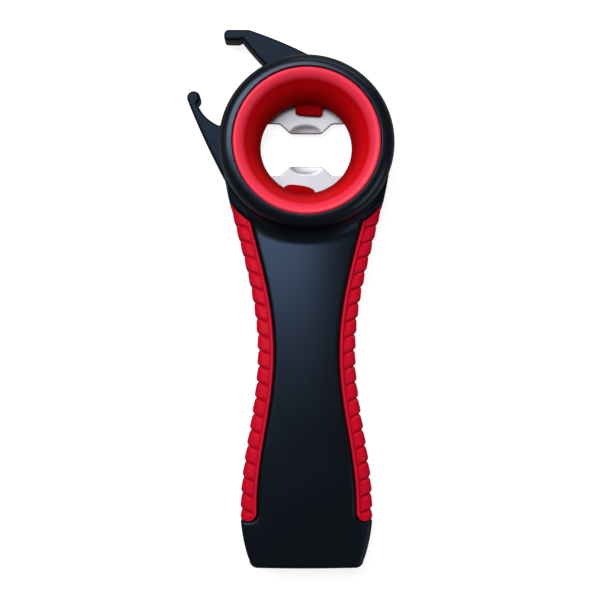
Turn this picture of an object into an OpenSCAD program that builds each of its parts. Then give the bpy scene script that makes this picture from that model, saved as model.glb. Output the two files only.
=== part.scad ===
// Hand-held opener for jars, bottles and cans.
// It lies on its flat back. The origin is on the back plane, on the axis of the round head.
// +Z points out of the head's mouth, +Y points past the hooks, and the handle runs along -Y.

/* [Head] */
// Outer radius of the round head
head_r = 28.5; // [27:0.5:35]
// Height of the head, from the back to the crest of its ring
head_h = 25; // [23:0.5:30]
// Radius of the recess in the ring that holds the rubber rim
mouth_r = 24.1; // [23:0.1:24.5]
// Height of the plane where the front and rear shells meet
split_z = 12; // [11:0.5:13]
// Radius of the rounded outer shoulder of the ring
ring_round = 4; // [2:0.1:4.4]

/* [Cone gripper] */
// Radius of the throat, which holds the smallest cap
throat_r = 15.2; // [14:0.1:16]
// Length of the straight land of the throat
throat_land = 3; // [2:0.5:5]
// Width of the rolled rim of the rubber
rim_w = 3.2; // [2.4:0.1:4]
// Width of the rubber tongues at the throat
tongue_w = 8.2; // [5:0.1:10]
// Distance from the axis to the tip of each tongue
tongue_reach = 11.4; // [10.5:0.1:13]
// Turn of the rubber cone in its seat
cone_turn = -4; // [-8:1:8]
// Flare of the cone's wall, from the throat to the bell
wall_flare = 2.4; // [1.6:0.1:3]
// Radius of the bell that leads into the cone
bell_r = 5; // [3:0.1:6]

/* [Opener plate] */
// Radius of the steel plate
plate_r = 19.6; // [18.8:0.1:20]
// Thickness of the steel plate
plate_t = 1.8; // [1.2:0.1:2.5]
// Half-width of the window between the two lips' roots
window_half = 8.9; // [8:0.1:10]
// How far each lip reaches into the window
lip_reach = 3.3; // [2:0.1:4]
// Width of a lip at its root
lip_root_w = 19; // [16:0.5:22]
// Width of a lip at its tip
lip_tip_w = 10; // [8:0.5:12]
// Depth of the scoop pressed into each lip
scoop_depth = 0.8; // [0.4:0.1:1]

/* [Handle] */
// Distance from the head's axis to the end of the handle
handle_len = 138; // [112:1:168]
// Thickness of the handle at its crown
handle_h = 19.5; // [17:0.5:22]
// Half of the handle's width at the waist
waist_half = 16; // [14:0.1:18]
// Distance from the head's axis to the waist
waist_y = 68.5; // [60:0.5:75]
// Length over which the handle widens from the waist to the head
neck_len = 74.8; // [70:0.1:80]
// Half of the handle's greatest width, at the palm
palm_half = 21.5; // [18:0.1:25]
// Distance from the widest part of the palm to the end of the handle
palm_to_end = 19; // [12:0.5:22]
// Bow radius of the sides beyond the palm
end_bow_r = 48; // [40:1:80]
// Corner radius at the end of the handle
end_corner_r = 2.6; // [1:0.1:5]
// Crown radius across the handle's face
crown_across_r = 90; // [70:1:120]
// Crown radius along the handle's face
crown_along_r = 600; // [500:10:900]
// Distance from the head's axis to the top of the lengthwise crown
crown_y = 75; // [70:1:85]

/* [Shells] */
// Wall thickness of both shells
wall = 2.2; // [1.6:0.1:2.8]
// Thickness of the floor of the head, behind the opener plate
head_floor = 2; // [1.6:0.1:2.6]
// Thickness of the strengthening ribs
rib_t = 1.6; // [1:0.1:2]

/* [Hooks] */
// Height of the hooks' back faces above the table
hook_z = 3; // [2:0.5:4]
// How far the top of the tab hook's claw stands above the head
claw_rise = 10.5; // [6:0.5:12]
// Distance from the centre line to the tip of the tab hook's claw
claw_out = 27.3; // [25:0.1:30]
// Thickness of the claw at its tip
claw_tip = 3.6; // [3.4:0.1:5]
// Length of the claw's flat top
claw_flat = 8.2; // [6:0.1:9]
// Distance from the head to the middle of the lid hook's ball
ball_out = 12.2; // [9:0.1:13.5]
// Direction of the lid hook's ball, seen from the head's axis
ball_angle = 156.5; // [155:0.5:165]
// Radius of the ball
ball_r = 2.2; // [1.8:0.1:3]

/* [Grips] */
// Width of the grip seen from the front
grip_band = 5.4; // [4.5:0.1:6.5]
// Thickness of the grip's rubber over the side of the handle
grip_wall = 2.4; // [1.8:0.1:3]
// Thickness of the grip's rubber over the front and back of the handle
grip_lip = 1.6; // [1.2:0.1:2.2]
// Distance between the head and the arc that the grips start at
grip_start_gap = 3; // [2:0.1:5]
// Distance from the lower end of the grips to the end of the handle
grip_to_end = 15.3; // [12:0.1:20]
// Number of grooves across each grip
groove_count = 18; // [12:1:20]
// Width of a groove
groove_w = 0.9; // [0.5:0.1:1.2]
// Depth of a groove
groove_d = 0.6; // [0.3:0.1:1]
// Slant of a groove
groove_slant = 24; // [0:1:35]

/* [Screws] */
// Distance from the centre line to the two neck screws
neck_screw_x = 11; // [9:0.5:12]
// Distance from the head to the neck screws, along the handle
neck_screw_gap = 8.5; // [7.5:0.5:12]
// Distance from the head's axis to the middle screw
mid_screw_y = 78; // [70:0.5:90]
// Distance from the end screw to the end of the handle
end_screw_in = 12; // [9:0.5:14]
// Radius of the screw's shank
screw_r = 1.5; // [1.3:0.1:1.8]
// Radius of the screw's head
screw_head_r = 2.8; // [2.4:0.1:3]
// Height of the screw's head
screw_head_h = 1.9; // [1.5:0.1:2.4]
// Length of the screw's shank
screw_len = 9; // [7:0.5:10]
// Depth of the screw heads below the back
screw_sink = 1.6; // [1:0.1:2]

/* [Fits] */
// Clearance around the steel plate and the rubber cone
seat_gap = 0.1; // [0.05:0.05:0.3]
// Clearance around each screw
screw_gap = 0.05; // [0.02:0.01:0.2]
// Clearance between a grip and its rebate
grip_gap = 0.05; // [0.02:0.01:0.2]

/* [Hidden] */
$fn = 96;
FINE = 2400;                                // facets of a full turn, for the long crown arc
OVER = 1;                                   // how far a cut runs past the face it opens
palm_y = handle_len - palm_to_end;          // widest part of the palm, from the head's axis
grip_end_y = handle_len - grip_to_end;      // lower end of the grips, from the head's axis
end_screw_y = handle_len - end_screw_in;    // end screw, from the head's axis
grip_start_r = head_r + grip_start_gap;     // arc about the head's axis that the grips start at
neck_screw_y = head_r + neck_screw_gap;     // neck screws, from the head's axis
plate_z = head_floor;                       // back face of the steel plate
cone_z = plate_z + plate_t;                 // back face of the rubber cone
tongue_z = cone_z + 2;                      // top of the tongues
land_z = tongue_z + throat_land;            // top of the throat's straight land
seat_r = plate_r + seat_gap;                // inner radius of the tube that centres plate and cone
tube_r = seat_r + 1.6;                      // outer radius of that tube
tube_top = split_z - 2.6;                   // top of that tube
rim_z = head_h - 6;                         // ledge in the ring that the rubber rim sits on
ledge_r = mouth_r - 2.2;                    // inner radius of that ledge
rim_top = head_h - 0.4;                     // crest of the rubber rim
window_r = throat_r + 1.4;                  // round ends of the plate's window
floor_hole_r = window_r + 0.6;              // round opening in the head's floor
screw_places = [[-neck_screw_x, -neck_screw_y], [neck_screw_x, -neck_screw_y],
                [0, -mid_screw_y], [0, -end_screw_y]];
screw_head_top = screw_sink + screw_head_h; // seat under each screw head
boss_z = screw_head_top + wall;             // plane where the front and rear bosses meet
pilot_top = screw_head_top + screw_len + 0.4; // blind end of each pilot hole
scoop_ball = 12;                            // radius of the ball that presses the scoops
groove_first_y = grip_start_r - 5.5;        // the first groove, from the head's axis
groove_pitch = (grip_end_y - groove_first_y - 4) / groove_count;

// Smooth rise from 0 to 1
function ease(t) = (1 - cos(180 * t)) / 2;

// Half-width of the handle at a distance y from the head's axis
function half_at(y) =
    y < waist_y ? waist_half + (head_r - waist_half) * ease((waist_y - y) / neck_len)
    : y < palm_y ? waist_half + (palm_half - waist_half) * ease((y - waist_y) / (palm_y - waist_y))
    : palm_half - pow(y - palm_y, 2) / (2 * end_bow_r);

// A point at radius r and angle a about the head's axis
function polar(r, a) = r * [cos(a), sin(a)];

// Points on an arc about c, from angle a to angle b
function arc(c, r, a, b, n) = [for (i = [0:n]) c + polar(r, a + (b - a) * i / n)];

// Points on an arc that bows out by rise on the left of the line from p to q
function bowed(p, q, rise, n) =
    let (d = q - p, out = [-d[1], d[0]] / norm(d))
    [for (i = [0:n]) p + d * i / n + out * rise * 4 * (i / n) * (1 - i / n)];

// The right side of the handle, moved in by inset, with its end corner
function side(inset, y0, y1) =
    let (last = y1 - end_corner_r)
    concat([for (i = [0:40]) let (y = y0 + (last - y0) * i / 40) [half_at(y) - inset, -y]],
           arc([half_at(last) - inset - end_corner_r, -last], end_corner_r, -15, -90, 6));

function mirrored(points) = [for (i = [len(points) - 1:-1:0]) [-points[i][0], points[i][1]]];

// The handle's outline between two distances from the head's axis
module handle_plan(inset, y0, y1)
    polygon(concat(side(inset, y0, y1), mirrored(side(inset, y0, y1))));

// Everything under the handle's face, which is crowned both ways
module under_crown(h) {
    turn = 16;
    translate([0, -crown_y, h - crown_along_r]) rotate([0, -90, 0]) rotate(-turn / 2)
        rotate_extrude(angle = turn, $fn = FINE)
            intersection() {
                translate([crown_along_r - handle_h - 4, -head_r]) square([handle_h + 4, 2 * head_r]);
                translate([crown_along_r - crown_across_r, 0]) circle(crown_across_r, $fn = FINE / 4);
            }
}

// The strip of the plan that one pair of grips covers
module grip_strip(gap, sunk) {
    difference() {
        handle_plan(-OVER, 12, grip_end_y + gap);
        handle_plan(sunk, 12, handle_len + OVER);
        circle(grip_start_r - gap);
    }
}

// Rebate in both shells for the grips: a deep cut in the side and shallow ones front and back
module grip_rebate() {
    translate([0, 0, -OVER]) linear_extrude(handle_h + 2 * OVER)
        grip_strip(grip_gap, grip_wall + grip_gap);
    translate([0, 0, -OVER]) linear_extrude(grip_lip + grip_gap + OVER)
        grip_strip(grip_gap, grip_band + grip_gap);
    difference() {
        translate([0, 0, split_z - 2]) linear_extrude(handle_h)
            grip_strip(grip_gap, grip_band + grip_gap);
        under_crown(handle_h - grip_lip - grip_gap);
    }
}

module tab_hook_plan() {
    top = head_r + claw_rise;
    nose = 1.6;
    chin = 1.2;
    arm = 3.1;  // thickness of the claw's arm, just behind its tip
    polygon(concat(
        arc([nose - claw_out, top - nose], nose, 180, 90, 6),
        bowed([claw_flat - claw_out, top], polar(head_r - 0.2, 76), 0.7, 8),
        [polar(head_r - 6, 80), polar(head_r - 6, 110)],
        bowed(polar(head_r + 1, 116), [6.1 - claw_out, top - arm], 0.2, 6),
        [[4.9 - claw_out, top - claw_tip]],
        arc([chin - claw_out, top - claw_tip + chin], chin, -90, -180, 4)));
}

module lid_hook_plan() {
    ball = polar(head_r + ball_out, ball_angle);
    neck_side = 11.2;
    translate(ball) circle(ball_r);
    polygon(concat(
        bowed([-half_at(neck_side), -neck_side], ball - [ball_r * 0.97, 0.6], 0.4, 8),
        bowed(ball + ball_r * [0.52, -0.85], polar(head_r + 1.2, 166.5), -1.1, 6),
        [polar(head_r + 0.3, 165), polar(head_r - 4, 165), polar(head_r - 4, 200)]));
}

// The raised ring of the head, hollow from behind, with the ledge that the rubber rim sits on
module head_ring()
    rotate_extrude()
        polygon(concat(
            [[head_r, split_z]],
            arc([head_r - ring_round, head_h - ring_round], ring_round, 0, 90, 8),
            [[mouth_r, head_h - 0.6], [mouth_r, rim_z], [ledge_r, rim_z], [ledge_r, split_z],
             [ledge_r + 1.8, split_z], [ledge_r + 1.8, rim_z - 1.8], [head_r - wall, rim_z - 1.8],
             [head_r - wall, split_z]]));

// The crowned face of the handle, hollow from behind, with the rebate for the grips
module handle_face()
    difference() {
        intersection() {
            translate([0, 0, split_z]) linear_extrude(handle_h) handle_plan(0, 16, handle_len);
            under_crown(handle_h);
        }
        cylinder(r = head_r - wall / 2, h = 3 * head_h, center = true);
        difference() {
            intersection() {
                translate([0, 0, split_z - OVER]) linear_extrude(handle_h)
                    handle_plan(grip_wall + wall, 20, handle_len - wall);
                under_crown(handle_h - grip_lip - wall);
            }
            cylinder(r = head_r + wall, h = 3 * head_h, center = true);
        }
        grip_rebate();
    }

module front_shell() {
    color([0.07, 0.08, 0.1])
    difference() {
        union() {
            head_ring();
            handle_face();
            intersection() {
                for (p = screw_places)
                    translate([p[0], p[1], boss_z]) cylinder(r = screw_r + 1.9, h = handle_h);
                under_crown(handle_h - wall / 2);
            }
        }
        for (p = screw_places)
            translate([p[0], p[1], boss_z - OVER])
                cylinder(r = screw_r + screw_gap, h = pilot_top - boss_z + OVER);
    }
}

module rear_shell() {
    color([0.06, 0.07, 0.09])
    difference() {
        union() {
            rotate_extrude()
                polygon([[floor_hole_r, 0], [head_r - 1.5, 0], [head_r, 1.5], [head_r, split_z],
                         [head_r - wall, split_z], [head_r - wall, head_floor], [tube_r, head_floor],
                         [tube_r, tube_top], [seat_r, tube_top], [seat_r, head_floor],
                         [floor_hole_r, head_floor]]);
            difference() {
                linear_extrude(split_z) handle_plan(0, 1, handle_len);
                translate([0, 0, -OVER]) cylinder(r = floor_hole_r, h = split_z);
                translate([0, 0, head_floor]) cylinder(r = head_r - wall / 2, h = split_z);
                translate([0, 0, wall + grip_lip]) linear_extrude(split_z) difference() {
                    handle_plan(grip_wall + wall, 20, handle_len - wall);
                    circle(head_r + wall);
                }
            }
            difference() {
                translate([0, 0, hook_z]) linear_extrude(split_z - hook_z) {
                    tab_hook_plan();
                    lid_hook_plan();
                }
                cylinder(r = head_r - wall / 2, h = 3 * head_h, center = true);
            }
            for (p = screw_places) translate([p[0], p[1], 0]) cylinder(r = screw_head_r + 1.7, h = boss_z);
            for (y = [waist_y - 10, palm_y - 17])
                translate([0, -y, wall]) linear_extrude(split_z - wall)
                    square([2 * (half_at(y) - grip_wall - wall / 2), rib_t], center = true);
        }
        for (p = screw_places) translate([p[0], p[1], -OVER]) {
            cylinder(r = screw_head_r + screw_gap, h = screw_head_top + OVER);
            cylinder(r = screw_r + screw_gap, h = handle_h);
        }
        grip_rebate();
    }
}

module cone_gripper() {
    color([0.82, 0.05, 0.12])
    rotate(cone_turn) {
        rotate_extrude()
            polygon(concat(
                [[throat_r + 0.4, cone_z], [throat_r + 0.4, tongue_z], [throat_r, tongue_z],
                 [throat_r, land_z]],
                arc([throat_r + wall_flare + bell_r, rim_z - 1.5], bell_r, 180, 125, 6),
                arc([mouth_r - seat_gap - rim_w / 2, rim_top - rim_w / 2], rim_w / 2, 170, 0, 8),
                [[mouth_r - seat_gap, rim_z], [ledge_r - seat_gap, rim_z],
                 [ledge_r - seat_gap, split_z], [plate_r, tube_top], [plate_r, cone_z]]));
        for (a = [0, 180]) rotate(a) intersection() {
            translate([-tongue_w / 2, tongue_reach, cone_z])
                cube([tongue_w, throat_r + OVER - tongue_reach, tongue_z - cone_z]);
            cylinder(r = throat_r + OVER, h = head_h);
        }
    }
}

// One lip of the opener plate, reaching down into the window
module lip_plan()
    polygon([[-lip_root_w / 2, window_half + OVER], [-lip_root_w / 2, window_half],
             [-lip_tip_w / 2, window_half - lip_reach], [lip_tip_w / 2, window_half - lip_reach],
             [lip_root_w / 2, window_half], [lip_root_w / 2, window_half + OVER]]);

module opener_plate() {
    color([0.78, 0.8, 0.83])
    difference() {
        translate([0, 0, plate_z]) linear_extrude(plate_t) difference() {
            circle(plate_r);
            difference() {
                intersection() {
                    circle(window_r);
                    square([3 * window_r, 2 * window_half], center = true);
                }
                for (a = [0, 180]) rotate(a) lip_plan();
            }
        }
        // pressed scoop behind the tip of each lip
        for (a = [0, 180]) rotate(a)
            translate([0, window_half - lip_reach - 2.2, cone_z + scoop_ball - scoop_depth])
                sphere(scoop_ball);
    }
}

module side_grip() {
    difference() {
        intersection() {
            linear_extrude(handle_h) difference() {
                intersection() {
                    handle_plan(0, 12, grip_end_y);
                    translate([0, -handle_len]) square([head_r, handle_len]);
                }
                handle_plan(grip_band, 12, handle_len + OVER);
                circle(grip_start_r);
            }
            under_crown(handle_h);
        }
        intersection() {
            translate([0, 0, grip_lip]) linear_extrude(handle_h)
                handle_plan(grip_wall, 12, handle_len + OVER);
            under_crown(handle_h - grip_lip);
        }
        for (i = [0:groove_count]) let (y = groove_first_y + i * groove_pitch)
            translate([half_at(y) - groove_d, -y, -OVER]) rotate(-groove_slant)
                translate([0, -groove_w / 2, 0]) cube([grip_band, groove_w, handle_h + 2 * OVER]);
    }
}

module right_grip() color([0.85, 0.08, 0.16]) side_grip();

module left_grip() color([0.85, 0.08, 0.16]) mirror([1, 0, 0]) side_grip();

module shell_screw()
    difference() {
        union() {
            cylinder(r = screw_head_r, h = screw_head_h);
            cylinder(r = screw_r, h = screw_head_h + screw_len);
        }
        for (a = [0, 90]) rotate(a) translate([-1.5, -0.35, -OVER]) cube([3, 0.7, 0.9 + OVER]);
    }

module shell_screws()
    color([0.62, 0.63, 0.65])
    for (p = screw_places) translate([p[0], p[1], screw_sink]) shell_screw();

front_shell();
rear_shell();
cone_gripper();
opener_plate();
left_grip();
right_grip();
shell_screws();
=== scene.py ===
"""Looks of a hand-held opener for jars, bottles and cans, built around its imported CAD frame."""

import math

import bmesh
import bpy
import numpy as np
from bpy.props import FloatProperty, FloatVectorProperty, IntProperty, PointerProperty
from mathutils import Matrix, Vector
from mathutils.geometry import delaunay_2d_cdt


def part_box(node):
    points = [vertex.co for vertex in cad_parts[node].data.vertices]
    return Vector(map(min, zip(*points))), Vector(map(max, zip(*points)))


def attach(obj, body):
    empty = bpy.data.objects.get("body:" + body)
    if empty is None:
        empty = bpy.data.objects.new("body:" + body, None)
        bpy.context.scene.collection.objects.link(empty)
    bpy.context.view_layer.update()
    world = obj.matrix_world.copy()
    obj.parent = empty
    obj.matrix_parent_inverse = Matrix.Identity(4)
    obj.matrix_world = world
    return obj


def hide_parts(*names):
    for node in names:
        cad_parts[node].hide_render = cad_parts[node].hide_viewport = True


bl_info = {
    "name": "Jar, bottle and can opener",
    "version": (1, 0, 0),
    "blender": (4, 5, 0),
    "location": "View3D > Sidebar > Opener",
    "description": "Builds the housing, rubber cone, steel plate, grips and screws of a hand-held opener",
    "category": "Add Mesh",
}

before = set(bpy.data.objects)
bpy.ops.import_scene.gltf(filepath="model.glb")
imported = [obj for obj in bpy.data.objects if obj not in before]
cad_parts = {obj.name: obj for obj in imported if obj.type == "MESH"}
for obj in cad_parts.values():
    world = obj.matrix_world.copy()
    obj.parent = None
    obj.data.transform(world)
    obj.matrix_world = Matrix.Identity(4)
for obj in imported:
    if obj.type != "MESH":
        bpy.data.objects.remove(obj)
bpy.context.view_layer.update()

# Lengths in this script are in millimetres until a mesh is made.
MM = 0.001
FRONT_LOW, FRONT_HIGH = (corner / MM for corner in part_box("front_shell"))
PLATE_LOW, PLATE_HIGH = (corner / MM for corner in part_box("opener_plate"))
CONE_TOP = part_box("cone_gripper")[1].z / MM

# Head
HEAD_R = FRONT_HIGH.x
HEAD_TOP = FRONT_HIGH.z
SPLIT_Z = 12.0  # height of the parting line between the two halves of the housing
SHADOW_LINE = 0.12  # bevel along the parting line
CLEAR = 0.01  # keeps flat faces of joined solids out of one plane
FIT = 0.02  # how far a piece stays back from the one that it sits against
MOUTH_R = 24.1
LEDGE_R = MOUTH_R - 2.2
LEDGE_Z = HEAD_TOP - 6
RING_SLOPE = 0.07  # fall of the ring's top from its mouth to where its shoulder starts
SHELL = 2.2  # wall of the drum
SINK = HEAD_R - 1.6  # radius that the hooks' roots reach inside the head
FIRST_ROW = HEAD_R + 0.06  # first row of the handle outside the head
THROAT_R = 15.2
TUBE_R, TUBE_TOP, TUBE_WALL = 19.7, 9.4, 1.6
HOOK_LOW = 3.0

# Handle, with y as the distance below the head's axis
END_Y = -FRONT_LOW.y
WAIST_HALF, WAIST_Y, NECK_LEN = 16.0, 68.5, 74.8
PALM_HALF, PALM_Y, END_BOW = 21.5, END_Y - 19, 48.0
CORNER = 2.6
CROWN_TOP, CROWN_Y, CROWN_ALONG, CROWN_ACROSS = 19.5, 75.0, 600.0, 90.0

# Grips
BAND = 5.4
GRIP_WALL = 2.4
GRIP_LIP = 1.6
START_R = HEAD_R + 3
STOP_Y = -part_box("right_grip")[0].y / MM
NOSE_IN, NOSE_OUT, NOSE_MID = 3.0, 1.5, 2.5
GRIP_GAP = 0.06  # between a grip's borders and its rebate
GRIP_ROUND = 2.5
BEAD_R = 0.6
FIRST_GROOVE, GROOVE_LEAN, GROOVE_SPREAD = START_R - 5.5, 20, 0.55

# Screws
SCREW_PLACES = [(-11, -HEAD_R - 8.5), (11, -HEAD_R - 8.5), (0, -78), (0, -END_Y + 12)]


def ease(t):
    """Smooth rise from 0 to 1."""
    return (1 - np.cos(math.pi * np.clip(t, 0, 1))) / 2


def half_at(y):
    """Half-width of the handle at a distance y below the head's axis."""
    y = np.asarray(y, float)
    neck = WAIST_HALF + (HEAD_R - WAIST_HALF) * ease((WAIST_Y - y) / NECK_LEN)
    palm = WAIST_HALF + (PALM_HALF - WAIST_HALF) * ease((y - WAIST_Y) / (PALM_Y - WAIST_Y))
    bow = PALM_HALF - (y - PALM_Y) ** 2 / (2 * END_BOW)
    side = np.where(y < WAIST_Y, neck, np.where(y < PALM_Y, palm, bow))
    turn_y = END_Y - CORNER
    slope = (turn_y - PALM_Y) / END_BOW
    turn_x = PALM_HALF - (turn_y - PALM_Y) ** 2 / (2 * END_BOW) - CORNER * math.hypot(1, slope)
    corner = turn_x + np.sqrt(np.clip(CORNER**2 - np.clip(y - turn_y, 0, CORNER) ** 2, 0, None))
    return np.where(y > turn_y, np.minimum(side, corner), side)


def crown(x, y):
    """Height of the handle's face, which is crowned both ways."""
    return CROWN_TOP - (y - CROWN_Y) ** 2 / (2 * CROWN_ALONG) - x**2 / (2 * CROWN_ACROSS)


def row_y(c, x):
    """Distance below the head's axis along row c: an arc around the head, which flattens down the handle."""
    bend = 1 - ease((c - 40) / 42)
    return c + bend * (np.sqrt(np.clip(c * c - x * x, 0, None)) - c)


def row_edge(c, inset):
    """Where row c meets the side of the handle moved in by inset. Rows inside the head stop short of it."""
    c = np.asarray(c, float)
    outside = np.maximum(c, FIRST_ROW)
    low, high = np.zeros_like(c), outside * 0.9999
    for _ in range(48):
        mid = (low + high) / 2
        inner = half_at(row_y(outside, mid)) - inset > mid
        low, high = np.where(inner, mid, low), np.where(inner, high, mid)
    return low * np.where(c < outside, c / outside, 1)


def nose_in(y):
    """Inset of the grip's inner border, which rounds off at the grip's lower end."""
    t = np.clip((y - (STOP_Y - NOSE_IN)) / NOSE_IN, 0, 1)
    return NOSE_MID + (BAND - NOSE_MID) * np.sqrt(1 - t * t)


def nose_out(y):
    """Inset of the grip's outer border at its lower end."""
    t = np.clip((y - (STOP_Y - NOSE_OUT)) / NOSE_OUT, 0, 1)
    return NOSE_OUT * (1 - np.sqrt(1 - t * t))


def quarter(r, count):
    """Distances from an edge that follow a quarter-round of radius r evenly."""
    return r * (1 - np.cos(np.linspace(0, math.pi / 2, count)))


def rounding(d, r):
    """How far a quarter-round of radius r lies below the face, at a distance d from the edge."""
    inside = np.clip(1 - d / r, 0, 1)
    return r * (1 - np.sqrt(1 - inside**2))


def distance(points, path):
    """Shortest distance from each point to a path of straight pieces."""
    a, b = path[:-1], path[1:]
    best = np.full(len(points), 1e9)
    for start, step in zip(a, b - a):
        along = np.clip(((points - start) @ step) / max(step @ step, 1e-12), 0, 1)
        best = np.minimum(best, np.hypot(*(points - start - along[:, None] * step).T))
    return best


def arc(centre, r, start, stop, count):
    """Points on an arc, with its angles in degrees."""
    a = np.radians(np.linspace(start, stop, count))
    return np.column_stack([centre[0] + r * np.cos(a), centre[1] + r * np.sin(a)])


def polar(r, degrees):
    """A point at a distance and a direction from the head's axis."""
    a = math.radians(degrees)
    return np.array([r * math.cos(a), r * math.sin(a)])


def bowed(start, stop, rise, count):
    """Points from start to stop that bow out by rise on the left of the way."""
    start, stop = np.asarray(start, float), np.asarray(stop, float)
    t = np.linspace(0, 1, count)[:, None]
    step = stop - start
    side = np.array([-step[1], step[0]]) / np.hypot(*step)
    return start + step * t + side * rise * 4 * t * (1 - t)


def even(path, step):
    """The closed path with points evenly spaced, its corners kept."""
    out = []
    for p, q in zip(path, np.roll(path, -1, 0)):
        count = max(1, int(round(np.hypot(*(q - p)) / step)))
        out.append(p + (q - p) * np.arange(count)[:, None] / count)
    return np.concatenate(out)


# Meshes

def make(name, points, faces, sharp=38):
    """A new object from points in millimetres, with doubled points joined and its faces turned outward."""
    mesh = bpy.data.meshes.new(name)
    mesh.from_pydata((np.asarray(points, float) * MM).tolist(), [], faces)
    bm = bmesh.new()
    bm.from_mesh(mesh)
    bmesh.ops.remove_doubles(bm, verts=bm.verts, dist=2e-6)
    bmesh.ops.dissolve_degenerate(bm, edges=bm.edges, dist=1e-6)
    bmesh.ops.recalc_face_normals(bm, faces=bm.faces)
    bm.to_mesh(mesh)
    bm.free()
    shade(mesh, sharp)
    piece = bpy.data.objects.new(name, mesh)
    bpy.context.scene.collection.objects.link(piece)
    return piece


def shade(mesh, sharp):
    """Smooth shading with sharp edges above an angle."""
    mesh.shade_smooth()
    mesh.set_sharp_from_angle(angle=math.radians(sharp))


def loft(rings, paired=False):
    """Points and faces of a skin over closed rings.

    Each end is one face, or strips between the two halves of the ring.
    """
    rings = np.asarray(rings, float)
    n, m = rings.shape[:2]
    index = np.arange(n * m).reshape(n, m)
    near, far = index[:-1], index[1:]
    quads = np.stack([near, np.roll(near, -1, 1), np.roll(far, -1, 1), far], -1).reshape(-1, 4)
    faces = quads.tolist()
    for end in (index[0].tolist(), index[-1].tolist()):
        if paired:
            faces += [[end[i], end[i + 1], end[m - 2 - i], end[m - 1 - i]] for i in range(m // 2 - 1)]
        else:
            faces.append(end)
    return rings.reshape(-1, 3), faces


def lathe(name, profile, turns=256, sharp=38):
    """A ring turned from a closed profile of (radius, height)."""
    profile = np.asarray(profile, float)
    m = len(profile)
    a = np.linspace(0, 2 * math.pi, turns, endpoint=False)[:, None]
    points = np.stack([profile[:, 0] * np.cos(a), profile[:, 0] * np.sin(a),
                       np.broadcast_to(profile[:, 1], (turns, m))], -1)
    index = np.arange(turns * m).reshape(turns, m)
    far = np.roll(index, -1, 0)
    quads = np.stack([index, far, np.roll(far, -1, 1), np.roll(index, -1, 1)], -1)
    return make(name, points.reshape(-1, 3), quads.reshape(-1, 4).tolist(), sharp)


def turned(name, profile, count=64):
    """A solid turned from (radius, height) points that run from one end to the other."""
    a = np.linspace(0, 2 * math.pi, count, endpoint=False)
    rings = [np.column_stack([r * np.cos(a), r * np.sin(a), np.full(count, z)]) for r, z in profile]
    return make(name, *loft(rings))


def within(points, loops):
    """True for points inside the first loop and outside the others."""
    inside = np.zeros(len(points), bool)
    x, y = points.T
    for loop in loops:
        for (x0, y0), (x1, y1) in zip(loop, np.roll(loop, -1, 0)):
            if y0 != y1:
                inside ^= ((y0 > y) != (y1 > y)) & (x < (x1 - x0) * (y - y0) / (y1 - y0) + x0)
    return inside


def slab(name, loops, low, high, edge, step, top=None, bottom=None):
    """A plate with rounded edges, cut to closed loops. top and bottom may shift its faces point by point."""
    loops = [even(np.asarray(loop, float), step) for loop in loops]
    rim = np.concatenate(loops)
    closed = [np.vstack([loop, loop[:1]]) for loop in loops]

    def depth(points):
        return np.min([distance(points, path) for path in closed], 0)

    box_low, box_high = rim.min(0), rim.max(0)
    xs, ys = (np.arange(a + step / 2, b, step * 1.1) for a, b in zip(box_low, box_high))
    fill = np.stack(np.meshgrid(xs, ys), -1).reshape(-1, 2)
    fill = fill[within(fill, loops)]
    fill = fill[depth(fill) > edge * 1.05 + step * 0.4]
    for path in closed:
        way = np.roll(path[:-1], -1, 0) - np.roll(path[:-1], 1, 0)
        side = np.column_stack([-way[:, 1], way[:, 0]]) / np.maximum(np.hypot(*way.T), 1e-9)[:, None]
        for d in quarter(edge, 6)[1:]:
            for sign in (-1, 1):
                moved = path[:-1] + sign * d * side
                keep = within(moved, loops)
                moved = moved[keep][depth(moved[keep]) > 0.97 * d] if keep.any() else moved[:0]
                fill = np.vstack([fill, moved])
    flat = np.vstack([rim, fill])
    joins, start = [], 0
    for loop in loops:
        ids = np.arange(start, start + len(loop))
        joins += list(zip(ids.tolist(), np.roll(ids, -1).tolist()))
        start += len(loop)
    found, _, faces, *_ = delaunay_2d_cdt([Vector(p) for p in flat], joins, [], 0, 1e-5)
    flat = np.array([tuple(p) for p in found])
    faces = np.array(faces)
    faces = faces[within(flat[faces].mean(1), loops)]
    d = depth(flat)
    d[d < 1e-4] = 0
    n = len(flat)
    upper = high - rounding(d, edge) + (top(*flat.T) if top else 0)
    lower = low + rounding(d, edge) + (bottom(*flat.T) if bottom else 0)
    points = np.vstack([np.column_stack([flat, upper]), np.column_stack([flat, lower])])
    sides = np.concatenate([faces[:, [0, 1]], faces[:, [1, 2]], faces[:, [2, 0]]])
    known = {tuple(s) for s in sides.tolist()}
    walls = [[b, a, a + n, b + n] for a, b in known if (b, a) not in known]
    return make(name, points, faces.tolist() + (faces[:, ::-1] + n).tolist() + walls)


def combine(piece, others, operation, sharp=38):
    """Adds other solids to a piece or cuts them out of it, then drops them."""
    for other in others:
        step = piece.modifiers.new("combine", "BOOLEAN")
        step.solver, step.operation, step.object = "EXACT", operation, other
    bpy.context.view_layer.update()
    mesh = bpy.data.meshes.new_from_object(piece.evaluated_get(bpy.context.evaluated_depsgraph_get()))
    if not mesh.polygons:
        raise RuntimeError(f"{piece.name} came out empty")
    piece.modifiers.clear()
    old, piece.data = piece.data, mesh
    mesh.name = piece.name
    bpy.data.meshes.remove(old)
    for other in others:
        bpy.data.objects.remove(other)
    shade(mesh, sharp)
    return piece


def translation(place):
    """A move across the table, in millimetres."""
    return Matrix.Translation((place[0] * MM, place[1] * MM, 0))


def rotation(degrees):
    """A turn about the head's axis."""
    return Matrix.Rotation(math.radians(degrees), 4, "Z")


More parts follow.
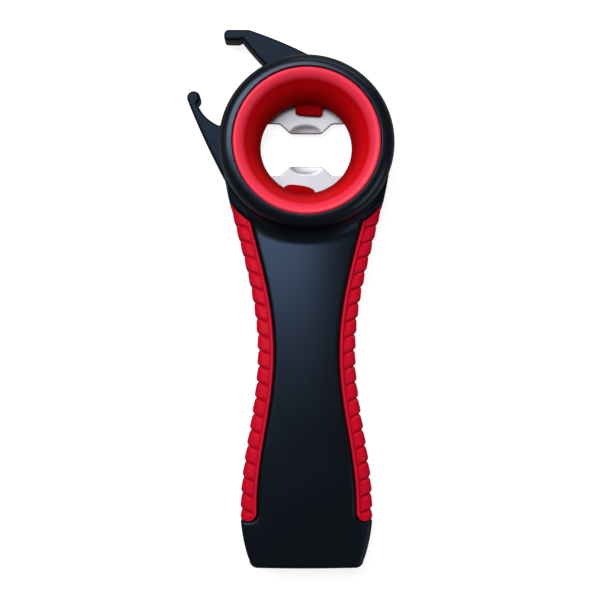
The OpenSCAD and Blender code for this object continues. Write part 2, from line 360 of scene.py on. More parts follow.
def finish_piece(piece, material, slot, *nodes):
    """Puts a finished piece on the body, in place of its CAD nodes."""
    piece.data.materials.clear()
    piece.data.materials.append(material)
    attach(piece, "root")
    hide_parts(*nodes)
    return piece


# Materials

class Field:
    """A socket of a node tree that takes part in Python sums."""

    def __init__(self, paint, socket):
        self.paint, self.socket = paint, socket

    def work(self, operation, *values):
        """A Math node on values or fields."""
        return self.paint.node("ShaderNodeMath", {"operation": operation}, dict(enumerate(values)))

    def __add__(self, other):
        return self.work("ADD", self, other)

    __radd__ = __add__

    def __sub__(self, other):
        return self.work("SUBTRACT", self, other)

    def __rsub__(self, other):
        return self.work("SUBTRACT", other, self)

    def __mul__(self, other):
        return self.work("MULTIPLY", self, other)

    __rmul__ = __mul__

    def __truediv__(self, other):
        return self.work("DIVIDE", self, other)

    def over(self, low, high):
        """0 below low, 1 above high, smooth between."""
        settings = {"interpolation_type": "SMOOTHSTEP"}
        return self.paint.node("ShaderNodeMapRange", settings,
                               {"Value": self, "From Min": low, "From Max": high})


class Paint:
    """A material under construction."""

    def __init__(self, name, **plain):
        self.material = bpy.data.materials.new(name)
        self.material.use_nodes = True
        self.tree = self.material.node_tree
        self.bsdf = next(n for n in self.tree.nodes if n.type == "BSDF_PRINCIPLED")
        for socket, value in plain.items():
            self.bsdf.inputs[socket.replace("_", " ")].default_value = value
        self.place = self.node("ShaderNodeTexCoord", output="Object")

    def node(self, kind, settings=None, inputs=None, output=0):
        """Adds a node, sets it up, feeds its sockets, and gives the output as a field."""
        node = self.tree.nodes.new(kind)
        for key, value in (settings or {}).items():
            setattr(node, key, value)
        for key, value in (inputs or {}).items():
            if isinstance(value, Field):
                self.tree.links.new(value.socket, node.inputs[key])
            else:
                node.inputs[key].default_value = value
        return Field(self, node.outputs[output])

    def feed(self, **links):
        """Links fields to sockets of the surface shader."""
        for socket, field in links.items():
            self.tree.links.new(field.socket, self.bsdf.inputs[socket.replace("_", " ")])
        return self

    def stretched(self, x=1, y=1, z=1):
        """Places with each axis stretched, in millimetres."""
        return self.node("ShaderNodeMapping", {}, {"Vector": self.place, "Scale": (x / MM, y / MM, z / MM)})

    def noise(self, per_mm, detail=2.0, rough=0.5, place=None):
        """Noise with so many waves to a millimetre."""
        place = place or self.stretched()
        return self.node("ShaderNodeTexNoise", {}, {"Vector": place, "Scale": per_mm, "Detail": detail,
                                                    "Roughness": rough})

    def blend(self, factor, first, second):
        """Mixes two colours."""
        return self.node("ShaderNodeMix", {"data_type": "RGBA"},
                         {0: factor, 6: self.colour(first), 7: self.colour(second)}, output=2)

    @staticmethod
    def colour(value):
        return value if isinstance(value, Field) else (*value, 1)

    def bump(self, height, strength, mm, under=None):
        """Bumps of a height in millimetres, over others if given."""
        inputs = {"Height": height, "Strength": strength, "Distance": mm * MM}
        if under:
            inputs["Normal"] = under
        return self.node("ShaderNodeBump", {}, inputs)


def moulded_black(look, name, shine, matt, polish=0.0):
    """Satin black ABS from a fine spark-eroded mould, rubbed on its edges. polish adds gloss to the ring."""
    paint = Paint(name, Specular_IOR_Level=shine, Specular_Tint=(*look.plastic_shine, 1), Coat_Roughness=0.22)
    height = paint.node("ShaderNodeSeparateXYZ", {}, {"Vector": paint.place}, output=2) / MM
    base = tuple(look.plastic)
    cloud = paint.noise(0.045, 3)
    grain = paint.noise(5.5, 2, 0.6)
    mottle = paint.noise(0.6, 3, 0.6)
    edge = paint.node("ShaderNodeNewGeometry", output="Pointiness").over(0.53, 0.60)
    rubbed = edge * paint.noise(0.8, 3).over(0.42, 0.66)
    colour = paint.blend(cloud.over(0.3, 0.7) * 0.7, base, tuple(c * 1.35 for c in base))
    colour = paint.blend(rubbed * 0.35, colour, tuple(c * 2.6 + 0.004 for c in base))
    rough = look.plastic_rough + matt + (cloud - 0.5) * 0.08 + (mottle - 0.5) * 0.05 - rubbed * 0.06
    normal = paint.bump(mottle, 0.05, 0.06, paint.bump(grain, 0.10, 0.02))
    return paint.feed(Base_Color=colour, Roughness=rough, Coat_Weight=height.over(21, 24.5) * polish,
                      Normal=normal).material


def cone_rubber(look):
    """Smooth glossy silicone rubber."""
    paint = Paint("cone_rubber", Specular_IOR_Level=0.02, Coat_Roughness=0.3, Coat_IOR=1.45)
    depth = paint.node("ShaderNodeSeparateXYZ", {}, {"Vector": paint.place}, output=2) / MM
    # deep_shade is painted shade: the cone's colour darkens towards the throat, where little light reaches;
    # it also makes the rubber rougher there.
    deep_shade = 1 - depth.over(9, 20)
    base = tuple(look.cone_red)
    cloud = paint.noise(0.08, 3)
    dust = paint.noise(2.2, 4, 0.65)
    colour = paint.blend(cloud.over(0.25, 0.75) * 0.5, base, tuple(c * 0.86 for c in base))
    # Painted highlight: the rolled rim is coloured lighter and pinker than the rest of the cone, on top of
    # the real gloss of its coat.
    colour = paint.blend(depth.over(21.4, 23.6), colour, tuple(look.rim_highlight_red))
    colour = paint.blend(deep_shade * 0.75, colour, tuple(c * 0.3 for c in base))
    rough = 0.42 + (cloud - 0.5) * 0.10 + dust.over(0.5, 0.8) * 0.07 + deep_shade * 0.28
    normal = paint.bump(dust, 0.06, 0.03)
    gloss = depth.over(21.5, 24) * 0.3
    return paint.feed(Base_Color=colour, Roughness=rough, Coat_Weight=gloss, Normal=normal).material


def grip_rubber(look):
    """Satin thermoplastic rubber with a fine grain, duller in its grooves, with painted shade that makes the
    grooves a little darker and a painted highlight on the crests.
    """
    paint = Paint("grip_rubber", Specular_IOR_Level=0.04)
    base = tuple(look.grip_red)
    cloud = paint.noise(0.1, 3)
    grain = paint.noise(4.5, 3, 0.6)
    bend = paint.node("ShaderNodeNewGeometry", output="Pointiness")
    groove = 1 - bend.over(0.42, 0.497)
    crest_highlight = bend.over(0.51, 0.57)
    colour = paint.blend(cloud.over(0.3, 0.7) * 0.5, base, tuple(c * 0.88 for c in base))
    # Painted shade: the grooves are darkened.
    colour = paint.blend(groove * 0.6, colour, tuple(c * 0.5 for c in base))
    # Painted highlight: the rib crests and the inner bead are lightened and made pinker.
    colour = paint.blend(crest_highlight * 0.4, colour, (0.80, 0.05, 0.12))
    rough = 0.44 + (cloud - 0.5) * 0.1 + groove * 0.15
    normal = paint.bump(grain, 0.14, 0.03)
    return paint.feed(Base_Color=colour, Roughness=rough, Normal=normal).material


def brushed_steel(look):
    """Stamped stainless steel with a rolled grain across it."""
    paint = Paint("brushed_steel", Metallic=1.0)
    base = tuple(look.steel)
    streaks = paint.noise(1, 4, 0.7, paint.stretched(0.25, 9, 2))
    cloud = paint.noise(0.15, 3)
    scratches = paint.noise(1, 2, 0.5, paint.stretched(0.35, 14, 3)).over(0.62, 0.72)
    colour = paint.blend(streaks, tuple(c * 0.82 for c in base), base)
    rough = 0.52 + (streaks - 0.5) * 0.12 + (cloud - 0.5) * 0.08 + scratches * 0.06
    normal = paint.bump(streaks, 0.05, 0.01)
    return paint.feed(Base_Color=colour, Roughness=rough, Normal=normal).material


def zinc():
    """Zinc-plated steel of the case screws."""
    paint = Paint("zinc_plate", Metallic=1.0)
    cloud = paint.noise(1.2, 4, 0.6)
    bend = paint.node("ShaderNodeNewGeometry", output="Pointiness")
    colour = paint.blend(cloud.over(0.35, 0.65), (0.42, 0.43, 0.45), (0.60, 0.60, 0.62))
    colour = paint.blend(bend.over(0.53, 0.62) * 0.4, colour, (0.78, 0.78, 0.8))
    rough = 0.34 + cloud * 0.16
    return paint.feed(Base_Color=colour, Roughness=rough, Normal=paint.bump(cloud, 0.1, 0.03)).material


def paper_floor(look):
    """Matt white studio paper."""
    paint = Paint("studio_paper", Specular_IOR_Level=0.0, Emission_Strength=look.floor_glow)
    fibre = paint.noise(0.9, 3, 0.6)
    colour = paint.blend(fibre.over(0.3, 0.7), (0.38, 0.38, 0.385), (0.42, 0.42, 0.425))
    rough = 0.9 + (fibre - 0.5) * 0.1
    # The paper looks bright to the camera and throws little light back at the opener.
    seen = paint.node("ShaderNodeLightPath")
    glow = paint.blend(seen, (0.12, 0.12, 0.12), (1.0, 1.0, 1.0))
    colour = paint.blend(seen, (0.15, 0.15, 0.15), colour)
    return paint.feed(Base_Color=colour, Roughness=rough, Emission_Color=glow).material


# Housing

def rows():
    """Rows across the handle, from inside the head to its end, each with whether the grips cross it."""
    edge = quarter(1.4, 7)
    up = np.concatenate([[26.9, 27.6, 28.2, 28.45], np.arange(FIRST_ROW, START_R, 0.25),
                         START_R - edge])
    nose = STOP_Y - NOSE_IN * np.cos(np.linspace(0, math.pi / 2, 14))
    down = np.concatenate([START_R + edge[1:], np.arange(START_R + 0.3, 36, 0.3),
                           np.arange(36, STOP_Y - 4, 1.1), nose, [START_R, STOP_Y]])
    last = np.concatenate([STOP_Y + 2 * CLEAR + edge, np.arange(STOP_Y + 2, END_Y - CORNER, 0.9),
                           END_Y - edge, END_Y - CORNER * (1 - np.sin(np.linspace(0, math.pi / 2, 12)))])
    return ([(c, False) for c in np.unique(up.round(4))] + [(c, True) for c in np.unique(down.round(4))]
            + [(c, False) for c in np.unique(last.round(4))])


def core_inset(y):
    """Inset of the border between the crowned face and the strip that the grips cover."""
    return np.where(y < STOP_Y, nose_in(y), NOSE_MID)


def face_border():
    """The right half of the border of the crowned face, from the shoulder to the middle of the end."""
    up = np.append(np.arange(FIRST_ROW, START_R, 0.2), START_R)
    shoulder = row_edge(up, 0)
    shoulder = np.column_stack([shoulder, row_y(up, shoulder)])
    x_in = float(row_edge(np.array([START_R]), BAND)[0])
    xs = np.linspace(shoulder[-1, 0], x_in, 14)[1:]
    around = np.column_stack([xs, row_y(START_R, xs)])
    ys = np.concatenate([np.arange(around[-1, 1] + 0.4, STOP_Y - NOSE_IN, 0.6),
                         STOP_Y - NOSE_IN * np.cos(np.linspace(0, math.pi / 2, 20))])
    inner = np.column_stack([half_at(ys) - nose_in(ys), ys])
    ys = np.concatenate([np.arange(STOP_Y, END_Y - CORNER, 0.6),
                         END_Y - CORNER * (1 - np.sin(np.linspace(0, math.pi / 2, 20)))])
    outer = np.column_stack([half_at(ys), ys])
    return np.vstack([shoulder, around, inner, outer, [[0, END_Y]]])


def shell_rings(edge, face, rebate, seam, wall_at):
    """Closed rings of points for one half of the handle: its face, its rebate, its walls and its flat seam.

    face(x, y, drop) gives the height of the face, rebate(x, y) that of the strip under the grips.
    """
    border = face_border()
    fine = quarter(edge, 7)
    rings = []
    for c, under_grip in rows():
        row = np.array([c])
        x_out = float(row_edge(row, 0)[0])
        inset = BAND
        for _ in range(12):  # the border's inset depends on where the row meets it
            x_core = float(row_edge(row, inset)[0])
            inset = float(core_inset(row_y(c, x_core)))
        core = np.concatenate([x_core - fine, np.linspace(x_core - edge - 0.35, 0, 16)])
        if under_grip:
            strip = x_core + (x_out - GRIP_WALL - x_core) * np.linspace(1, 0, 12)[:-1]
            strip = np.append(strip, x_core)
        else:
            width = x_out - x_core
            strip = x_out - np.append(np.minimum(fine, width * 0.9), np.linspace(width * 0.93, width, 5))
        half_x = np.concatenate([strip, core])
        x = np.concatenate([half_x, -half_x[-2::-1]])
        y = row_y(c, x)
        d = distance(np.column_stack([np.abs(x), y]), border)
        z = face(x, y, rounding(d, edge))
        if under_grip:
            lowered = np.zeros(len(x), bool)
            lowered[:12] = lowered[-12:] = True
            z = np.where(lowered, rebate(x, y), z)
        top = np.column_stack([x, -y, z])
        under = top.copy()
        under[0, 0] -= SHADOW_LINE
        under[-1, 0] += SHADOW_LINE
        under[:, 2] = seam
        wall = top[[0, -1]].copy()
        wall[:, 2] = wall_at
        rings.append(np.vstack([wall[:1], top, wall[1:], under[::-1]]))
    return rings


def front_face(sizes):
    """Height of the front of the handle, with the fillet that runs up the ring of the head."""
    ring_round = sizes.ring_round / MM
    ring_x, ring_z = HEAD_R - ring_round, HEAD_TOP - ring_round - RING_SLOPE

    def height(x, y, drop):
        f = crown(x, y)
        r = np.hypot(x, y)
        away = np.degrees(np.arctan2(np.abs(x), np.maximum(y, 1e-6)))
        fillet = 0.7 + (sizes.neck_fillet / MM - 0.7) * (1 - ease((away - 22) / 30))
        reach = (ring_round + fillet) ** 2 - (f + fillet - ring_z) ** 2
        centre = np.where(f + fillet > ring_z, ring_x + np.sqrt(np.clip(reach, 0, None)), HEAD_R + fillet)
        touch = np.where(f + fillet > ring_z,
                         ring_x + ring_round * (centre - ring_x) / (ring_round + fillet), HEAD_R)
        over = np.clip(centre - np.maximum(r, touch), 0, fillet)
        z = f + fillet - np.sqrt(np.clip(fillet**2 - over**2, 0, None)) - drop
        return np.maximum(z, SPLIT_Z + 0.4)

    return height


def ring_profile(sizes):
    """The raised ring of the head, with the ledge that the rubber rim sits on."""
    r = sizes.ring_round / MM
    return np.vstack([
        [[HEAD_R - SHADOW_LINE, SPLIT_Z], [HEAD_R, SPLIT_Z + SHADOW_LINE], [HEAD_R, 16]],
        arc((HEAD_R - r, HEAD_TOP - r - RING_SLOPE), r, 0, 80, 22),
        arc((MOUTH_R + 0.25, HEAD_TOP - 0.25), 0.25, 80, 180, 6),
        [[MOUTH_R, LEDGE_Z], [LEDGE_R, LEDGE_Z], [LEDGE_R, SPLIT_Z]],
    ])


def drum_profile():
    """The drum behind the ring, with the tube that centres plate and cone, and the opening in its floor."""
    return np.vstack([
        [[17.5, 0]], arc((HEAD_R - 1.5, 1.5), 1.5, -90, 0, 9),
        [[HEAD_R, SPLIT_Z - SHADOW_LINE], [HEAD_R - SHADOW_LINE, SPLIT_Z], [HEAD_R - SHELL, SPLIT_Z],
         [HEAD_R - SHELL, 2], [TUBE_R + TUBE_WALL, 2], [TUBE_R + TUBE_WALL, TUBE_TOP], [TUBE_R, TUBE_TOP],
         [TUBE_R, 2], [17.45, 2], [17.2, 1.75], [17.2, 0.3]],
    ])


def tab_hook():
    """Outline of the claw that lifts a can's tab."""
    top = HEAD_R + 10.5
    return np.vstack([
        arc((-25.7, top - 1.6), 1.6, 180, 90, 9), bowed((-19.1, top), polar(HEAD_R - 0.2, 76), 0.7, 18),
        arc((0, 0), SINK, 78, 111, 10), bowed(polar(HEAD_R + 1, 116), (-21.2, top - 3.1), 0.2, 10),
        [(-22.4, top - 3.6)], arc((-26.1, top - 2.4), 1.2, -90, -180, 6),
    ])


def lid_hook():
    """Outline of the hook with a ball on its end, which breaks a lid's vacuum."""
    ball = polar(HEAD_R + 12.2, 156.5)
    root = np.array([-float(half_at(11.2)), -11.2])
    return np.vstack([
        bowed(root, ball - [2.13, 0.6], 0.4, 16), arc(ball, 2.2, 196, -50, 18),
        bowed(ball + [1.15, -1.88], polar(HEAD_R + 1.2, 166.5), -1.1, 12), [polar(HEAD_R + 0.3, 165)],
        arc((0, 0), SINK, 165, 203, 12),
    ])


# Sizes and colours

class OpenerSizes(bpy.types.PropertyGroup):
    """Sizes of the opener's details."""

    edge_round: FloatProperty(name="Edge round", description="Radius of the edges of the handle's face",
                              default=1.4 * MM, unit="LENGTH")
    back_round: FloatProperty(name="Back round", description="Radius of the edges of the handle's back",
                              default=2.4 * MM, unit="LENGTH")
    ring_round: FloatProperty(name="Ring round", description="Radius of the ring's outer shoulder",
                              default=4.0 * MM, unit="LENGTH")
    neck_fillet: FloatProperty(name="Neck fillet", description="Fillet where the handle runs up the ring",
                               default=5.6 * MM, unit="LENGTH")
    hook_round: FloatProperty(name="Hook round", description="Radius of the hooks' edges",
                              default=0.9 * MM, unit="LENGTH")
    groove_count: IntProperty(name="Grooves", description="Number of spaces between the grooves of a grip",
                              default=18, min=6)
    groove_depth: FloatProperty(name="Groove depth", description="Depth of the grooves across the grips",
                                default=0.6 * MM, unit="LENGTH")
    bead_height: FloatProperty(name="Bead height", description="How far the grips' inner bead stands proud",
                               default=0.35 * MM, unit="LENGTH")
    scoop_depth: FloatProperty(name="Scoop depth", description="Depth of the scoops pressed into the lips",
                               default=0.75 * MM, unit="LENGTH")


class OpenerLook(bpy.types.PropertyGroup):
    """Colours of the opener and its studio."""

    plastic: FloatVectorProperty(name="Plastic", description="Colour of the housing", subtype="COLOR",
                                 default=(0.0034, 0.004, 0.005), min=0, max=1)
    plastic_shine: FloatVectorProperty(name="Plastic shine", description="Tint of the housing's gloss",
                                       subtype="COLOR", default=(0.36, 0.58, 1.0), min=0, max=1)
    plastic_rough: FloatProperty(name="Plastic roughness", description="Roughness of the housing",
                                 default=0.33, min=0, max=1)
    cone_red: FloatVectorProperty(name="Cone red", description="Colour of the rubber cone", subtype="COLOR",
                                  default=(0.74, 0.001, 0.006), min=0, max=1)
    # rim_highlight_red is a painted highlight: a lighter, pinker colour for the cone's rolled rim.
    rim_highlight_red: FloatVectorProperty(name="Rim red", description="Colour of the cone's rolled rim",
                                 subtype="COLOR", default=(0.86, 0.035, 0.075), min=0, max=1)
    grip_red: FloatVectorProperty(name="Grip red", description="Colour of the side grips", subtype="COLOR",
                                  default=(0.60, 0.0035, 0.022), min=0, max=1)
    steel: FloatVectorProperty(name="Steel", description="Colour of the opener plate", subtype="COLOR",
                               default=(0.47, 0.48, 0.52), min=0, max=1)
    floor_glow: FloatProperty(name="Floor glow", description="Light that the studio paper gives off",
                              default=0.85, min=0)


# Pieces

class OPENER_OT_front_housing(bpy.types.Operator):
    """Build the front of the housing: the ring of the head and the crowned face of the handle"""
    bl_idname = "opener.front_housing"
    bl_label = "Front housing"

    def execute(self, context):
        sizes, look = context.scene.opener_sizes, context.scene.opener_look
        edge = sizes.edge_round / MM
        rings = shell_rings(edge, front_face(sizes), lambda x, y: crown(x, y) - GRIP_LIP - FIT,
                            SPLIT_Z + CLEAR, SPLIT_Z + SHADOW_LINE)
        face = make("front_handle", *loft(rings, True))
        piece = lathe("front_housing", ring_profile(sizes))
        combine(piece, [face], "UNION")
        finish_piece(piece, moulded_black(look, "satin_black", 0.32, 0.0, 0.22), "black_abs", "front_shell")
        return {"FINISHED"}


class OPENER_OT_rear_housing(bpy.types.Operator):
    """Build the back of the housing: the drum, the handle's back, both hooks and the screw recesses"""
    bl_idname = "opener.rear_housing"
    bl_label = "Rear housing"

    def execute(self, context):
        sizes, look = context.scene.opener_sizes, context.scene.opener_look
        edge = sizes.back_round / MM
        rings = shell_rings(edge, lambda x, y, drop: drop + CLEAR, lambda x, y: 0 * x + GRIP_LIP + FIT,
                            SPLIT_Z - CLEAR, SPLIT_Z - SHADOW_LINE)
        back = make("rear_handle", *loft(rings, True))
        piece = lathe("rear_housing", drum_profile())
        heights = (HOOK_LOW, SPLIT_Z - 2 * CLEAR, sizes.hook_round / MM)
        hooks = [slab("tab_hook", [tab_hook()], *heights, 0.45),
                 slab("lid_hook", [lid_hook()], *heights, 0.41)]
        combine(piece, [back, *hooks], "UNION")
        recesses = []
        for i, place in enumerate(SCREW_PLACES):
            recess = turned(f"recess_{i}", [(3.2, -1), (3.15, -0.05), (2.85, 0.3), (2.85, 3.6)], 48)
            recess.data.transform(translation(place))
            recesses.append(recess)
        combine(piece, recesses, "DIFFERENCE")
        finish_piece(piece, moulded_black(look, "matt_black", 0.2, 0.12), "black_abs", "rear_shell")
        return {"FINISHED"}


class OPENER_OT_rubber_cone(bpy.types.Operator):
    """Build the rubber cone that grips caps, with its rolled rim and two tongues"""
    bl_idname = "opener.rubber_cone"
    bl_label = "Rubber cone"

    def execute(self, context):
        look = context.scene.opener_look
        out_r, crest_r = MOUTH_R - 0.1, MOUTH_R - 0.9
        foot = PLATE_HIGH.z + 0.05
        lip = arc((0, 0), 1, 150, 90, 16) * [3.6, 5.45] + [crest_r, CONE_TOP - 5.45]
        profile = np.vstack([
            [[THROAT_R + 0.35, foot], [THROAT_R + 0.35, 5.9]],
            arc((THROAT_R + 0.3, 6.1), 0.3, 250, 180, 4),
            [[THROAT_R, 8.4]],
            bowed((THROAT_R + 0.02, 8.8), lip[0], 0.25, 16)[:-1],
            lip,
            (arc((0, 0), 1, 90, 0, 10) * [out_r - crest_r, 0.8] + [crest_r, CONE_TOP - 0.8])[1:],
            [[out_r, LEDGE_Z + FIT], [LEDGE_R - 0.1, LEDGE_Z + FIT], [LEDGE_R - 0.1, SPLIT_Z],
             [TUBE_R - 0.2, TUBE_TOP], [TUBE_R - 0.2, foot]],
        ])
        piece = lathe("rubber_cone", profile, 288, 50)
        tongues = []
        for i, (turn, half, reach, bow) in enumerate([(-4, 4.6, 11.4, 1.6), (171, 5.4, 12.3, 2.4)]):
            tip = arc((0, 0), 1, 180, 360, 26)
            tip = np.sign(tip) * np.abs(tip) ** (0.3 * bow) * [half, bow] + [0, reach + bow]
            outline = np.vstack([[[-half, THROAT_R + 1.5]], tip, [[half, THROAT_R + 1.5]]])
            tongue = slab(f"tongue_{i}", [outline], foot, 6.0, 0.75, 0.35)
            tongue.data.transform(rotation(turn))
            tongues.append(tongue)
        combine(piece, tongues, "UNION", 50)
        finish_piece(piece, cone_rubber(look), "red_cone_rubber", "cone_gripper")
        return {"FINISHED"}


class OPENER_OT_steel_plate(bpy.types.Operator):
    """Build the steel plate with its two pressed lips"""
    bl_idname = "opener.steel_plate"
    bl_label = "Steel plate"

    def execute(self, context):
        sizes, look = context.scene.opener_sizes, context.scene.opener_look
        window_r, half, reach = 16.6, 8.9, 3.3
        reach_angle = math.degrees(math.asin(half / window_r))
        lip = np.array([(9.5, half), (8.6, half - 0.25), (5.6, half - reach + 0.35), (4.8, half - reach)])
        right = arc((0, 0), window_r, -reach_angle, reach_angle, 24)
        top_lip = np.vstack([lip, lip[::-1] * [-1, 1]])
        window = np.vstack([right, top_lip, -right, -top_lip])
        outer = arc((0, 0), PLATE_HIGH.x - FIT, 0, 360, 160)[:-1]
        depth = sizes.scoop_depth / MM

        def scoop(x, y):
            off = np.hypot(x / 5.7, (np.abs(y) - 5.2) / 3.1)
            return -depth * np.clip(1 - off**2, 0, 1) ** 0.8

        piece = slab("steel_plate", [outer, window], PLATE_LOW.z, PLATE_HIGH.z, 0.22, 0.5, scoop,
                     lambda x, y: 0.8 * scoop(x, y))
        finish_piece(piece, brushed_steel(look), "plate_steel", "opener_plate")
        return {"FINISHED"}


def grip_section(bead_height):
    """Face of a grip's section from its inner border outward: (inset from the side, height, groove share).

    Heights are measured from the handle's face.
    """
    border = BAND - GRIP_GAP
    points = [(border, FIT - GRIP_LIP, 0.0)]
    for a in np.linspace(0, 180, 11):
        turn = math.radians(a)
        points.append((border - BEAD_R + BEAD_R * math.cos(turn),
                       -0.25 + (BEAD_R + bead_height) * math.sin(turn), 0.0 if a < 150 else 0.1))
    for q in (3.75, 3.4, 3.0, 2.75):
        points.append((q, -0.12 + 0.02 * (q - 2.6), min(1, (4.15 - q) * 1.4)))
    for a in np.linspace(90, 180, 12):
        across, up = math.cos(math.radians(a)), math.sin(math.radians(a))
        points.append((GRIP_ROUND * (1 + math.copysign(abs(across) ** 0.9, across)),
                       -0.1 - GRIP_ROUND + GRIP_ROUND * abs(up) ** 0.9, 1.0))
    return np.array(points)


class OPENER_OT_side_grips(bpy.types.Operator):
    """Build the two ribbed rubber grips that wrap the sides of the handle"""
    bl_idname = "opener.side_grips"
    bl_label = "Side grips"

    def execute(self, context):
        sizes, look = context.scene.opener_sizes, context.scene.opener_look
        material = grip_rubber(look)
        for side, name in ((1, "right_grip"), (-1, "left_grip")):
            points, faces = self.skin(sizes)
            points = points * [side, 1, 1]
            piece = make(f"{name}_rubber", points, faces, 60)
            finish_piece(piece, material, "red_grip_rubber", name)
        return {"FINISHED"}

    @staticmethod
    def skin(sizes):
        """Points and faces of the right grip, ring by ring down the handle."""
        face = grip_section(sizes.bead_height / MM)
        side = np.linspace(0, 1, 12)[1:-1]
        lip = GRIP_LIP - FIT
        back = [(GRIP_ROUND * (1 - math.sin(a)), GRIP_ROUND * (1 - math.cos(a)), 1.0)
                for a in np.linspace(math.pi / 2, 0, 10)]
        back += [(3.2, 0, 0.8), (3.9, 0, 0.3), (4.4, 0, 0), (BAND - 0.5, 0, 0), (BAND - 0.17, 0.12, 0),
                 (BAND - GRIP_GAP, 0.4, 0), (BAND - GRIP_GAP, lip, 0), (GRIP_WALL + 0.05, lip, 0)]
        back = np.array(back)
        insets = np.concatenate([face[:, 0], 0 * side, back[:, 0], [GRIP_WALL + 0.05]])
        share = np.concatenate([face[:, 2], 0 * side + 1, back[:, 2], [0]])
        pitch = (STOP_Y - FIRST_GROOVE - 4) / sizes.groove_count
        depth = sizes.groove_depth / MM
        stations = np.concatenate([
            START_R + GRIP_GAP + quarter(0.5, 5)[:-1], np.linspace(START_R + 0.6, STOP_Y - 3.2, 540),
            STOP_Y - GRIP_GAP - 3.0 * (1 - np.sin(np.linspace(0, math.pi / 2, 22))),
        ])
        rings = []
        for c in stations:
            inner, outer = float(nose_in(min(c, STOP_Y))), float(nose_out(min(c, STOP_Y)))
            q = outer + insets * ((inner - outer) / BAND)
            row = np.full(len(q), c)
            x = row_edge(row, q)
            y = row_y(row, x)
            f = crown(x, y)
            high = f[:len(face)] + face[:, 1]
            z = np.concatenate([high, high[-1] + (GRIP_ROUND - high[-1]) * side, back[:, 1], [f[-1] - lip]])
            phase = (y - math.tan(math.radians(GROOVE_LEAN)) * np.clip(q, 0, None) - FIRST_GROOVE) / pitch
            near = np.abs(phase - np.round(phase)) * pitch
            ramp = phase - np.floor(phase)
            cut = depth * (0.7 * (1 - ramp) ** 1.6 + 0.8 * np.exp(-((near / GROOVE_SPREAD) ** 2)))
            fade = np.clip((c - START_R - 0.4) / 1.5, 0, 1) * np.clip((STOP_Y - 1.6 - c) / 1.2, 0, 1)
            along = np.column_stack([np.roll(q, -1) - np.roll(q, 1), np.roll(z, -1) - np.roll(z, 1)])
            cut *= share * fade / np.maximum(np.hypot(*along.T), 1e-6)
            rings.append(np.column_stack([x + cut * along[:, 1], -y, z + cut * along[:, 0]]))
        return loft(rings)


class OPENER_OT_case_screws(bpy.types.Operator):
    """Build the four recessed screws that hold the housing together"""
    bl_idname = "opener.case_screws"
    bl_label = "Case screws"

    def execute(self, context):
        profile = np.vstack([arc((2.35, 2.1), 0.44, -90, 0, 6), [[2.79, 2.8], [1.5, 3.48], [1.5, 12.4]]])
        head = turned("case_screws", profile)
        for turn in (0, 90):
            outline = [(-1.45, -0.36), (1.45, -0.36), (1.45, 0.36), (-1.45, 0.36)]
            bar = slab(f"slot_{turn}", [outline], 1.0, 2.6, 0.1, 0.2)
            bar.data.transform(rotation(turn + 24))
            combine(head, [bar], "DIFFERENCE")
        bm = bmesh.new()
        for i, place in enumerate(SCREW_PLACES):
            copy = head.data.copy()
            copy.transform(rotation(37 * i))
            copy.transform(translation(place))
            bm.from_mesh(copy)
            bpy.data.meshes.remove(copy)
        bm.to_mesh(head.data)
        bm.free()
        shade(head.data, 30)
        finish_piece(head, zinc(), "screw_steel", "shell_screws")
        return {"FINISHED"}


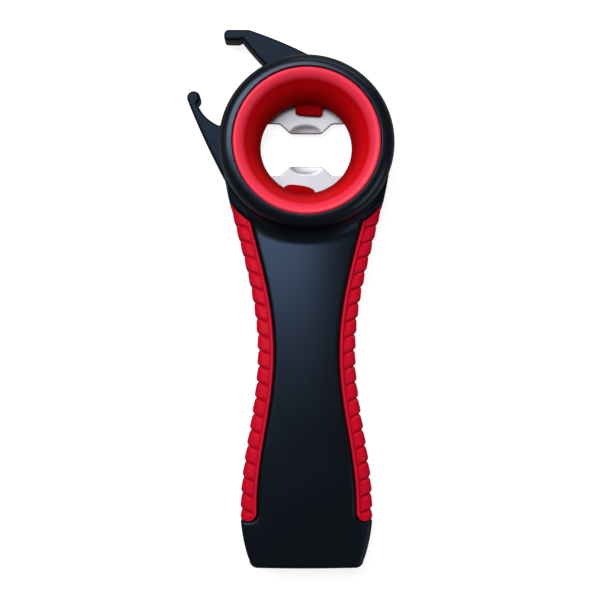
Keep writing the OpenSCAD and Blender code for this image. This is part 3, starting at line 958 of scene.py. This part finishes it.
class OPENER_OT_studio(bpy.types.Operator):
    """Set up the paper floor, the soft lights and the camera"""
    bl_idname = "opener.studio"
    bl_label = "Studio"

    def execute(self, context):
        look = context.scene.opener_look
        bm = bmesh.new()
        bmesh.ops.create_circle(bm, cap_ends=True, segments=96, radius=4.0)
        mesh = bpy.data.meshes.new("floor")
        bm.to_mesh(mesh)
        bm.free()
        floor = bpy.data.objects.new("floor", mesh)
        floor.location.z = -0.0002
        context.scene.collection.objects.link(floor)
        mesh.materials.append(paper_floor(look))

        self.softbox("softbox_top", (-0.37, 0.42, 1.0), (-0.37, 0.42, 0.0), (0.95, 0.66), 15)
        self.softbox("softbox_left", (-0.95, 0.1, 0.75), (0.0, -0.05, 0.0), (0.5, 0.9), 0.6)
        self.softbox("softbox_right", (0.9, -0.5, 0.55), (0.0, -0.05, 0.0), (0.6, 0.6), 2.0)
        self.softbox("softbox_back", (0.3, 1.1, 0.45), (0.0, 0.0, 0.0), (1.0, 0.4), 2.5)

        world = bpy.data.worlds.new("studio_air")
        world.use_nodes = True
        tree = world.node_tree
        air = tree.nodes["Background"]
        air.inputs["Color"].default_value = (0.9, 0.95, 1.0, 1)
        # The walls of the room look pale to the camera and light the opener little.
        seen = tree.nodes.new("ShaderNodeMapRange")
        seen.inputs["To Min"].default_value, seen.inputs["To Max"].default_value = 0.07, 0.85
        tree.links.new(tree.nodes.new("ShaderNodeLightPath").outputs["Is Camera Ray"], seen.inputs["Value"])
        tree.links.new(seen.outputs[0], air.inputs["Strength"])
        context.scene.world = world
        context.scene.view_settings.view_transform = "Standard"

        data = bpy.data.cameras.new("camera")
        data.lens = 84.5
        data.clip_start, data.clip_end = 0.01, 20
        camera = bpy.data.objects.new("camera", data)
        context.scene.collection.objects.link(camera)
        place, aim = Vector((-0.006, -0.074, 0.474)), Vector((-0.0021, -0.0509, 0.012))
        back = (place - aim).normalized()
        right = Vector((0, 1, 0)).cross(back).normalized()
        camera.matrix_world = Matrix((right, back.cross(right), back)).transposed().to_4x4()
        camera.location = place
        context.scene.camera = camera
        return {"FINISHED"}

    @staticmethod
    def softbox(name, place, aim, size, power):
        """A soft rectangular light that faces a point."""
        data = bpy.data.lights.new(name, "AREA")
        data.shape, data.size, data.size_y = "RECTANGLE", *size
        data.energy = power
        lamp = bpy.data.objects.new(name, data)
        bpy.context.scene.collection.objects.link(lamp)
        lamp.location = place
        lamp.rotation_euler = (Vector(aim) - Vector(place)).to_track_quat("-Z", "Y").to_euler()


class OPENER_PT_panel(bpy.types.Panel):
    """Lists the opener's pieces and its sizes"""
    bl_idname = "OPENER_PT_panel"
    bl_label = "Opener"
    bl_space_type = "VIEW_3D"
    bl_region_type = "UI"
    bl_category = "Opener"

    def draw(self, context):
        layout = self.layout
        for piece in OPERATORS:
            layout.operator(piece.bl_idname)
        for group in (context.scene.opener_sizes, context.scene.opener_look):
            column = layout.column(align=True)
            for name in group.bl_rna.properties.keys():
                if name not in ("rna_type", "name"):
                    column.prop(group, name)


OPERATORS = (OPENER_OT_front_housing, OPENER_OT_rear_housing, OPENER_OT_rubber_cone, OPENER_OT_steel_plate,
             OPENER_OT_side_grips, OPENER_OT_case_screws, OPENER_OT_studio)
CLASSES = (OpenerSizes, OpenerLook, *OPERATORS, OPENER_PT_panel)


def register():
    """Registers the classes and their settings on the scene."""
    for cls in CLASSES:
        bpy.utils.register_class(cls)
    bpy.types.Scene.opener_sizes = PointerProperty(type=OpenerSizes)
    bpy.types.Scene.opener_look = PointerProperty(type=OpenerLook)


def unregister():
    """Takes the settings and the classes away again."""
    del bpy.types.Scene.opener_look
    del bpy.types.Scene.opener_sizes
    for cls in reversed(CLASSES):
        bpy.utils.unregister_class(cls)


def main():
    """Builds every piece and the studio."""
    register()
    for piece in OPERATORS:
        group, name = piece.bl_idname.split(".")
        getattr(getattr(bpy.ops, group), name)()


if __name__ == "__main__":
    main()
